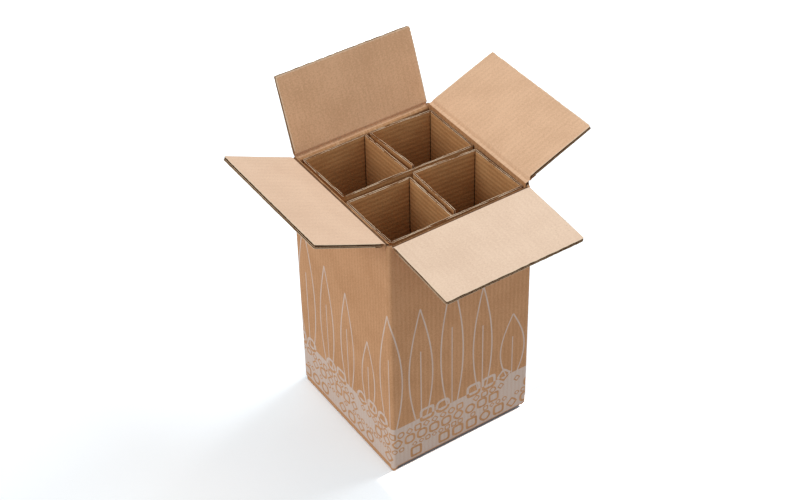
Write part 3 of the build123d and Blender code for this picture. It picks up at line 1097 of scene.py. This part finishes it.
def wall_faces(kind, below):
    """Depths of the wall's outer and inner face at a distance below the axis, both drawn in to the lip."""
    axis = kind["axis_in_wall"]
    outer = (axis - CREASE_LIP / 2) * (1 - eased(below - CREASE_GAP, kind["crush"] - CREASE_GAP))
    inner_lip = axis + CREASE_LIP / 2
    inner = inner_lip + (BOARD - inner_lip) * shoulder(below - CREASE_GAP, kind["inner_crush"] - CREASE_GAP)
    rise, fall = eased(below - CREASE_GAP, BULGE_RISE), eased(below - BULGE_END, BULGE_FALL)
    return outer, inner + kind["bulge"] * rise * (1 - fall)


def crease_place(flap):
    """place(a, q, share) across the crease: q is the distance from the axis, negative down the wall and
    positive out on the flap, and share runs from the outer face, 0, to the inner face, 1."""
    kind = KINDS[flap["kind"]]

    def place(a, q, share):
        wall_outer, wall_inner = wall_faces(kind, -q)
        radial = kind["half"] - (wall_outer + (wall_inner - wall_outer) * share)
        on_wall = turned(radial, a, kind["axis_z"] + q, flap["turn"])
        flap_outer, flap_inner = flap_faces(kind, q)
        depth = flap_outer + (flap_inner - flap_outer) * share - kind["axis_in_flap"]
        return np.where((q < 0)[..., None], on_wall, flap_point(flap, a, q, depth))

    return place


def walked(kind, q_line):
    """Distance from the axis over the inner face of the wall and the flap, for each q of a line across."""
    across = wall_faces(kind, -q_line)[1]
    steps = np.where(q_line[1:] > 0, np.diff(q_line), np.hypot(np.diff(q_line), np.diff(across)))
    path = np.concatenate([[0], np.cumsum(steps)])
    return path - np.interp(0, q_line, path)


# %% Look of a crease
SHADE_LINE_WAVE, SHADE_LINE_SIZE = 0.3, 25
VALLEY_AT, VALLEY_WIDTH, VALLEY_SIZE = -1.3, 1.3, 18
STREAK_AT, STREAK_WIDTH, STREAK_SIZE = -5.6, 1.0, 36
RIDGE_HIGHLIGHT_WIDTH = 1.3
PALE_RIDGE_SHADE, SHADE_AT, SHADE_WIDTH = 0.3, 2.8, 1.5
OUTER_CREASE_RUB, OUTER_RUB_WIDTH = 0.3, 1.5


def crease_finish(flap, a, w, seed):
    """Finish of each quad of an inner crease strip: the flap's paper, the crushed paper on the wall's side,
    painted darker for its shade as well, and the dark core paper along the axis in a line of uneven width,
    painted shade of the valley. w is the distance walked from the axis."""
    middle = (w[1:, 1:] + w[1:, :-1]) / 2
    shade_line_at, shade_line = flap["shade_line"]
    shade_line = shade_line * (1 + SHADE_LINE_WAVE * soft_wave(a[1:, 1:], 0 * middle, SHADE_LINE_SIZE, seed + 9))
    papered = np.where(middle < flap["plain"], CRUSHED_SHADED, flap["face"])
    return np.where(np.abs(middle - shade_line_at) < shade_line, FLUTE, papered)


def crease_painted_light(flap, a, w, seed):
    """Painted light of an inner crease strip: painted shade in the valley, painted highlight in a broken
    streak down the wall and on a ridge, and painted shade beside the ridge. Each is a bell over the distance
    w walked from the axis."""
    patchy = 1 + soft_wave(a, 0 * w, VALLEY_SIZE, seed)
    broken = np.clip(0.6 + 1.4 * soft_wave(a, 0 * w, STREAK_SIZE, seed + 5), 0, 1)
    ridge_at, ridge_highlight = flap["ridge_highlight"]
    wear_and_shading = -flap["valley_shade"] * bell(w - VALLEY_AT, VALLEY_WIDTH) * patchy
    wear_and_shading = wear_and_shading + flap["streak"] * broken * bell(w - STREAK_AT, STREAK_WIDTH)
    wear_and_shading = wear_and_shading + ridge_highlight * bell(w - ridge_at, RIDGE_HIGHLIGHT_WIDTH)
    return wear_and_shading - PALE_RIDGE_SHADE * ridge_highlight * bell(w - ridge_at - SHADE_AT, SHADE_WIDTH)


# %% Crease strips
STRIP_POINTS_PER_FLUTE = 6
STRIP_RIPPLE_FROM = 8
STRIP_ROUGHNESS = 0.12
MOST_SHARE = 0.45


def crease_strip(flap, inner, seed):
    """One liner over the crease, as a shell: its face, and its back a liner's thickness further in."""
    kind = KINDS[flap["kind"]]
    half = kind["span"] / 2
    count = round(2 * half / (COARSE_PITCH if inner else FINE_PITCH))
    pitch = 2 * half / count
    far = INNER_LINER_FROM if inner else OUTER_LINER_FROM
    wall_line = spread(TUBE_TOP - kind["axis_z"], (BELOW_CRUSH, 2), (-4.0, 3), (-1.8, 4), (-CREASE_GAP, 7))
    q_line = np.concatenate([wall_line, spread(CREASE_GAP, (far, 9))])
    a_line = np.linspace(-half, half, STRIP_POINTS_PER_FLUTE * count + 1)
    a, q = np.meshgrid(a_line, q_line, indexing="ij")
    wall_outer, wall_inner = wall_faces(kind, -q)
    flap_outer, flap_inner = flap_faces(kind, q)
    thickness = np.where(q < 0, wall_inner - wall_outer, flap_inner - flap_outer)
    dip = washboard(a + half + (0 if inner else pitch / 2), pitch)
    ripple = dip / thickness * eased(np.abs(q), STRIP_RIPPLE_FROM)
    paper = np.minimum(LINER / thickness, MOST_SHARE)
    if inner:
        face_share, back_share = 1 - ripple, 1 - ripple - paper
        w = np.broadcast_to(walked(kind, q_line), q.shape)
        wear_and_shading = crease_painted_light(flap, a, w, seed)
        face = crease_finish(flap, a, w, seed)
    else:
        face_share, back_share = ripple, ripple + paper
        wear_and_shading = OUTER_CREASE_RUB * bell(q, OUTER_RUB_WIDTH)
        face = OUTER
    a, q = roughen(a, q, ("a0", "a1"), STRIP_ROUGHNESS, seed)
    flat = np.stack(on_sheet(flap, kind["axis_z"])(a, q), axis=-1)
    place = crease_place(flap)
    return shell(place(a, q, face_share), place(a, q, back_share), flat, face, CUT, wear_and_shading)


def blend_ends(flap):
    """Where the bend of a crease starts and ends, in metres: a little to each side of the axis, along the
    line that halves the angle between the wall and the flap."""
    kind = KINDS[flap["kind"]]
    opened = math.radians(flap["open"])
    out, up = math.cos(opened), 1 + math.sin(opened)
    step = CREASE_BLEND / math.hypot(out, up)
    axis_r, axis_z = kind["half"] - kind["axis_in_wall"], kind["axis_z"]
    points = [turned(axis_r + side * out, 0.0, axis_z + side * up, flap["turn"]) for side in (-step, step)]
    return [tuple(float(c) * MM for c in point) for point in points]


for number, (body, flap) in enumerate(FLAPS.items()):
    start, end = blend_ends(flap)
    for layer, inner in (("inner", True), ("outer", False)):
        strip = crease_strip(flap, inner, 700 + number)
        piece = build(f"{body}_crease_{layer}", [strip], BOARD_FINISHES, None)
        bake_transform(piece)
    print(body, "crease bends between", [round(c, 4) for c in start], "and", [round(c, 4) for c in end])


# %% Wall tops between the liners
def wall_top_place(flap):
    """place(a, b, d) of a wall's top, where b is the distance from the axis."""
    crease = crease_place(flap)
    return lambda a, b, d: crease(a, b, d / BOARD)


tops = []
for number, flap in enumerate(FLAPS.values()):
    kind = KINDS[flap["kind"]]
    rows = spread(TUBE_TOP - kind["axis_z"], (BELOW_CRUSH, 1), (-WALL_CORE_FROM, 6))
    a_range = (-kind["span"] / 2, kind["span"] / 2)
    tops += papers(wall_top_place(flap), a_range, rows, CORE_PAPERS, ("a0", "a1"), 900 + 60 * number)
build("carton_wall_tops", tops, BOARD_FINISHES, "box")

# %% [markdown]
# ## The dividers
# Each divider is one strip of single-wall board, folded six times, with its flutes lying level. So its
# upright faces show level ripples, its top edge is a cut along a flute, two frayed liners with a dark
# channel between them, and its two free ends show the waves of the flutes. Flat panels could be set between
# the cells, but the strip is followed fold by fold, because inside each fold the liner is pressed into a
# slot that shows.

# %% Divider plans
DIVIDERS = {
    "divider_front": {
        "corners": [
            (-4.9, -98.7), (-3.9, -5.0), (-95.4, -2.3), (-94.3, -98.0),
            (100.2, -100.3), (97.3, -5.6), (5.6, 0.2), (4.0, -91.0),
        ],
        "bows": (0.0, 0.6, -0.5, 0.0, 0.6, -0.4, 0.0),
    },
    "divider_back": {
        "corners": [
            (2.7, 10.6), (0.3, 104.0), (-92.6, 103.4), (-91.7, 10.0),
            (99.9, 3.9), (99.9, 98.3), (8.4, 104.0), (14.0, 14.0),
        ],
        "bows": (0.0, 0.5, -0.6, 1.2, 0.5, -0.7, 0.0),
    },
}
print("dividers", {name: len(divider["corners"]) - 2 for name, divider in DIVIDERS.items()}, "folds")

# %% Folds of a strip
DIVIDER_FOLD_RADIUS = 0.8
SLOT_REACH = np.array([1.4, 0.75, 0.2, 0.2, 0.75, 1.4])
SLOT_DEPTH = np.array([0.0, 0.1, 1.5, 1.5, 0.1, 0.0])
SLOT_SHADE = np.array([0.0, -0.35, -1.0, -1.0, -0.35, 0.0])


def unit(vector):
    """The vector at length 1."""
    return vector / np.linalg.norm(vector)


def beside(corners, distance):
    """Corners of the line beside a path, to its left: each is where two shifted runs cross."""
    corners = np.array(corners)
    runs = np.diff(corners, axis=0)
    runs = runs / np.linalg.norm(runs, axis=1)[:, None]
    normals = np.stack([-runs[:, 1], runs[:, 0]], axis=-1)
    bisector = normals[:-1] + normals[1:]
    cosine = np.einsum("ij,ij->i", normals[:-1], bisector)
    middle = corners[1:-1] + distance * bisector / cosine[:, None]
    ends = (corners[0] + distance * normals[0], corners[-1] + distance * normals[-1])
    return np.concatenate([[ends[0]], middle, [ends[1]]])


def folded_line(corners, bend):
    """A polyline whose corners are drawn by bend(corner, into, away): the two directions at the corner."""
    line = [corners[:1]]
    for before, corner, after in zip(corners, corners[1:], corners[2:]):
        line.append(bend(corner, unit(corner - before), unit(after - corner)))
    line.append(corners[-1:])
    return np.concatenate(line)


def slotted(corner, into, away):
    """The inside of a fold: the liner runs into a narrow slot that points away from the cell."""
    outward = unit(into - away)
    half = len(SLOT_REACH) // 2
    along = np.concatenate([-SLOT_REACH[:half, None] * into, SLOT_REACH[half:, None] * away])
    return corner + along + SLOT_DEPTH[:, None] * outward


def rounded(corner, into, away):
    """The outside of a fold: an arc that starts and ends radius * tangent(half the turn) from the corner."""
    radius = DIVIDER_FOLD_RADIUS + PLY
    turn = math.acos(float(np.clip(into @ away, -1, 1)))
    reach = radius * math.tan(turn / 2)
    centre = corner - into * reach + np.array([-into[1], into[0]]) * radius
    first = math.atan2(*(corner - into * reach - centre)[::-1])
    angles = first + np.linspace(0, turn, len(SLOT_REACH))
    return centre + radius * np.stack([np.cos(angles), np.sin(angles)], axis=-1)


# %% Place of a divider's points
def at(p, along, line):
    """Points of a plan line at distances p."""
    return np.stack([np.interp(p, along, line[:, i]) for i in (0, 1)], axis=-1)


def divider_place(divider):
    """place(z, p, d) of a divider: p is the distance along the strip and d runs from its right face, 0, to
    its left face, PLY. Also the distances of the folds' points, and the shade of the slots at each one."""
    left = folded_line(beside(divider["corners"], PLY / 2), slotted)
    right = folded_line(beside(divider["corners"], -PLY / 2), rounded)
    along = distances(right)
    size, folds = len(SLOT_REACH), len(divider["corners"]) - 2
    middles = along[1:-1].reshape(folds, size).mean(axis=1)
    joints = np.concatenate([[0], middles, along[-1:]])
    shade = np.concatenate([[0.0], np.tile(SLOT_SHADE, folds), [0.0]])

    def place(z, p, d):
        share = (d / PLY)[..., None]
        plan = at(p, along, right) * (1 - share) + at(p, along, left) * share
        for start, end, depth in zip(joints, joints[1:], divider["bows"]):
            run = unit(at(end, along, right) - at(start, along, right))
            hump = depth * np.sin(math.pi * np.clip((p - start) / (end - start), 0, 1)) ** 2
            plan = plan + hump[..., None] * np.array([-run[1], run[0]])
        return np.concatenate([plan, z[..., None]], axis=-1)

    return place, along, shade


# %% The divider's papers
FRAYED, FRAY_RISE = 1.3, 0.9
FRAY_THICKNESS = 0.38
FRAY_SIZE, RIPPLE_SIZE = 45, 70
FINE_FRAY, LONG_FRAY = 0.12, 0.6
TOP_RUB, TOP_PAINTED_LIGHT, TOP_PAINTED_LIGHT_DOWN = 0.8, 0.45, 6
INSIDE_PAPER = 0.8


def divider_angle(z):
    """How far round its wave the medium is at a height."""
    return 2 * math.pi * (z - DIVIDER_BOTTOM) / DIVIDER_PITCH


def divider_liners(place, z_line, p_line, along, shade, seed, offset, top):
    """Both liners of a stretch of the strip. Each dips between the flute tips on its own side: a raised
    cosine of the height. At a cut top they are ragged and thicker, by an uneven fray."""
    z, p = np.meshgrid(z_line, p_line, indexing="ij")
    wave = np.cos(divider_angle(z))
    uneven = DIVIDER_WASHBOARD * (1 + 0.5 * soft_wave(z, p, RIPPLE_SIZE, seed)) / 2
    dip, rise = uneven * (1 + wave), uneven * (1 - wave)
    patchy = np.clip(0.65 + 1.1 * soft_wave(0 * z, p, FRAY_SIZE, seed), 0.25, 1)
    frayed = np.clip((z - (DIVIDER_TOP - FRAYED)) / FRAY_RISE, 0, 1) * patchy
    paper = LINER + FRAY_THICKNESS * frayed
    # Painted highlight: each face is painted paler over its top few millimetres, where more light falls; the
    # slots' shade added next is painted shade.
    painted_top_light = TOP_PAINTED_LIGHT * fading(DIVIDER_TOP - z, TOP_PAINTED_LIGHT_DOWN)
    inside = np.interp(p, along, shade) + TOP_RUB * frayed + painted_top_light
    sides = ((PLY - dip, PLY - dip - INSIDE_PAPER * paper, inside), (rise, rise + paper, frayed))
    shells = []
    for number, (front, back, wear_and_shading) in enumerate(sides):
        ragged = z.copy()
        if top:
            fine = rough_line(z.shape[1], FINE_FRAY, seed + number, 1)
            ragged[-1] -= np.abs(fine + rough_line(z.shape[1], LONG_FRAY, seed + 20 + number, 6))
        flat = np.stack([ragged + offset, p], axis=-1)
        faces = place(ragged, p, front), place(ragged, p, back)
        shells.append(shell(*faces, flat, DIVIDER_FACE, DIVIDER_EDGE, wear_and_shading))
    return shells


def divider_core(place, z_range, p_line, offset):
    """The medium between the liners: a cosine across the ply, with the flutes lying level."""
    rows = max(8, round((z_range[1] - z_range[0]) / DIVIDER_PITCH * 8))
    z, p = np.meshgrid(np.linspace(*z_range, rows + 1), p_line, indexing="ij")
    swing = (PLY - 2 * LINER - MEDIUM) / 2
    slope = 2 * math.pi / DIVIDER_PITCH * swing * np.sin(divider_angle(z))
    middle = PLY / 2 - swing * np.cos(divider_angle(z))
    half = MEDIUM / 2 * np.sqrt(1 + slope**2)
    flat = np.stack([z + offset, p], axis=-1)
    faces = place(z, p, middle + half), place(z, p, middle - half)
    return shell(*faces, flat, DIVIDER_FLUTE, DIVIDER_EDGE)


# %% Divider strips
TOP_STRIP = 4.5
TOP_CORE, CORE_BELOW_TOP = 12.0, 3.2
FACE_STEP, TOP_STEP = 26, 2.2
FREE_END = np.array([0.3, 4.0, 9.0])


def columns_every(step, along):
    """Distances at which a liner has a column of points: at each of the folds' points, and once a step."""
    return np.unique(np.round(np.concatenate([along, np.arange(0, along[-1], step)]), 3))


def divider_shells(divider, seed, offset):
    """The two liners over the whole strip, and the medium where it shows: at the top and both free ends."""
    place, along, shade = divider_place(divider)
    seam = DIVIDER_TOP - TOP_STRIP
    heights = np.linspace(DIVIDER_BOTTOM, DIVIDER_TOP, 4 * DIVIDER_WAVES + 1)
    heights = np.append(heights[heights < seam - 0.3], seam)
    top_line = spread(seam, (DIVIDER_TOP - FRAYED, 2), (DIVIDER_TOP, 2))
    sparse, dense = columns_every(FACE_STEP, along), columns_every(TOP_STEP, along)
    shells = divider_liners(place, heights, sparse, along, shade, seed, offset, False)
    shells += divider_liners(place, top_line, dense, along, shade, seed, offset, True)
    core_bottom = DIVIDER_TOP - TOP_CORE
    shells.append(divider_core(place, (core_bottom, DIVIDER_TOP - CORE_BELOW_TOP), sparse, offset))
    for line in (FREE_END, along[-1] - FREE_END[::-1]):
        shells.append(divider_core(place, (DIVIDER_BOTTOM, core_bottom), line, offset))
    return shells


for number, (name, divider) in enumerate(DIVIDERS.items()):
    shells = divider_shells(divider, 1100 + 50 * number, 500.0 * number)
    piece = build(f"{name}_strip", shells, DIVIDER_FINISHES, "box")
    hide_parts(name)

# %% [markdown]
# ## Floor and light
# The photograph is a studio shot on white: a soft lamp at the right throws a pale shadow to the left, and
# the white room fills the rest. Stronger lamps would whiten a grey floor, but burn out the carton. So the
# floor looks white to the camera through its colour alone, and the carton is lit at a plain level. That
# colour is a little blue, to cancel the brown that the carton reflects into its shadow.

# %% Floor
FLOOR_SIZE = 30.0
FLOOR_DROP = 0.0003
# Painted light on the floor: these colours set how light the floor's shadow is by place, lighter behind near
# the carton and darker behind far to the left, and their blue cancels the brown light that the carton
# reflects into the shadow.
NEAR_PAINTED_LIGHT = (1.20, 1.31, 1.39, 1.0)
NEAR_BACK_PAINTED_LIGHT = (1.30, 1.42, 1.505, 1.0)
FAR_PAINTED_LIGHT = (1.28, 1.335, 1.37, 1.0)
FAR_BACK_PAINTED_LIGHT = (1.15, 1.20, 1.235, 1.0)
BACKWARDS = (0.0, 130.0)
LEFTWARDS = (150.0, 380.0)
TO_OBJECT = (0.55, 0.55, 0.55, 1.0)

edge_x = FLOOR_SIZE / 2 * np.array([-1, 1, 1, -1])
edge_y = FLOOR_SIZE / 2 * np.array([-1, -1, 1, 1])
floor_points = np.stack([edge_x, edge_y, np.full(4, -FLOOR_DROP)], axis=-1)
floor_mesh = bpy.data.meshes.new("floor")
floor_mesh.from_pydata(floor_points.tolist(), [], [(0, 1, 2, 3)])
floor = add_object("floor", floor_mesh)

floor_finish = Finish("floor_white")
on_floor = floor_finish.node("ShaderNodeTexCoord", None, None, "Object")
floor_x, floor_y = floor_finish.part(on_floor, "X") / MM, floor_finish.part(on_floor, "Y") / MM
backwards = floor_y.above(*BACKWARDS)
near_painted_light = floor_finish.mix(NEAR_PAINTED_LIGHT, NEAR_BACK_PAINTED_LIGHT, backwards)
far_painted_light = floor_finish.mix(FAR_PAINTED_LIGHT, FAR_BACK_PAINTED_LIGHT, backwards)
painted_light_level = floor_finish.mix(near_painted_light, far_painted_light, (0 - floor_x).above(*LEFTWARDS))

# %% [markdown]
# Right in front of the carton, beside it and far from it the floor is pure white, and a thin dark line lies
# in the gap under the front wall. Lamps would make neither so clean, so both are drawn by place, in
# millimetres: painted light that whitens the shadow and shade falling on the floor there, and painted shade
# in the gap.

# %% Painted light that clears the floor's shadow, and painted shade in the gap
SHADOW_ERASING_WHITE = (4.0, 4.0, 4.0, 1.0)
GAP_PAINTED_SHADE = (0.50, 0.56, 0.64, 1.0)
GAP_FRONT, GAP_BACK = -109.6, -103.0
GAP_LEFT, GAP_RIGHT = (-106.0, -104.0), 102.5
AHEAD_LEFT = (-138.0, -109.0)
BESIDE_LEFT, BESIDE_BACK = (103.0, 104.0), -95.0
FAR_OFF = (700.0, 1100.0)
away = (floor_x * floor_x + floor_y * floor_y) ** 0.5
ahead = floor_y.below(GAP_FRONT, 0.4) * floor_x.above(*AHEAD_LEFT)
beyond = floor_x.above(*BESIDE_LEFT) * floor_y.below(BESIDE_BACK, 1.0)
shadow_erased = ahead.larger(beyond).larger(away.above(*FAR_OFF))
in_gap = floor_y.above(GAP_FRONT - 0.4, GAP_FRONT + 0.8) * floor_y.below(GAP_BACK, 1.0)
in_gap = in_gap * floor_x.above(*GAP_LEFT) * floor_x.below(GAP_RIGHT, 0.5)
shown = floor_finish.mix(floor_finish.mix(painted_light_level, SHADOW_ERASING_WHITE, shadow_erased), GAP_PAINTED_SHADE, in_gap)
seen = floor_finish.node("ShaderNodeLightPath", None, None, "Is Camera Ray")
matte = floor_finish.node("ShaderNodeBsdfDiffuse", None, {"Color": floor_finish.mix(TO_OBJECT, shown, seen)})
floor_finish.links.new(matte.socket, floor_finish.nodes["Material Output"].inputs["Surface"])
floor_mesh.materials.append(floor_finish.material)
print("floor", FLOOR_SIZE, "m wide, with", len(floor_finish.nodes), "nodes in its finish")

# %% [markdown]
# The white room is the world. It could be one even colour, but white enough to be the backdrop it would
# light the carton flat, so it is pure white to the camera and about half as bright to everything else. Two
# square lamps face the carton: the key throws the shadow, and the other fills the left side.

# %% World and lamps
WORLD_LEVEL = 0.53
AIM = (0.0, 0.0, 0.25)
LAMPS = {
    "key": {"place": (1.85, 0.05, 1.90), "size": 1.5, "power": 31},
    "left_fill": {"place": (-2.25, 0.2, 1.55), "size": 1.5, "power": 21},
}

world = bpy.data.worlds.new("studio")
world.use_nodes = True
bpy.context.scene.world = world
world_nodes, world_links = world.node_tree.nodes, world.node_tree.links
background = world_nodes["Background"]
path = world_nodes.new("ShaderNodeLightPath")
strength = world_nodes.new("ShaderNodeMapRange")
strength.inputs["To Min"].default_value = WORLD_LEVEL
strength.inputs["To Max"].default_value = 1.0
world_links.new(path.outputs["Is Camera Ray"], strength.inputs["Value"])
world_links.new(strength.outputs["Result"], background.inputs["Strength"])
background.inputs["Color"].default_value = (1.0, 1.0, 1.0, 1.0)


def soft_lamp(name, place, size, power):
    """A square area lamp that faces the carton: tilted by the angle between straight down and its aim, then
    turned about the vertical towards it."""
    light = bpy.data.lights.new(name, "AREA")
    light.shape = "SQUARE"
    light.size = size
    light.energy = power
    lamp = add_object(name, light)
    lamp.location = place
    x, y, z = np.array(place) - np.array(AIM)
    lamp.rotation_euler = (math.atan2(math.hypot(x, y), z), 0.0, math.atan2(y, x) + math.pi / 2)


for name, lamp in LAMPS.items():
    soft_lamp(name, **lamp)
bpy.context.scene.view_settings.view_transform = "Standard"
print("lamps", {name: lamp["power"] for name, lamp in LAMPS.items()}, "W, world", WORLD_LEVEL)
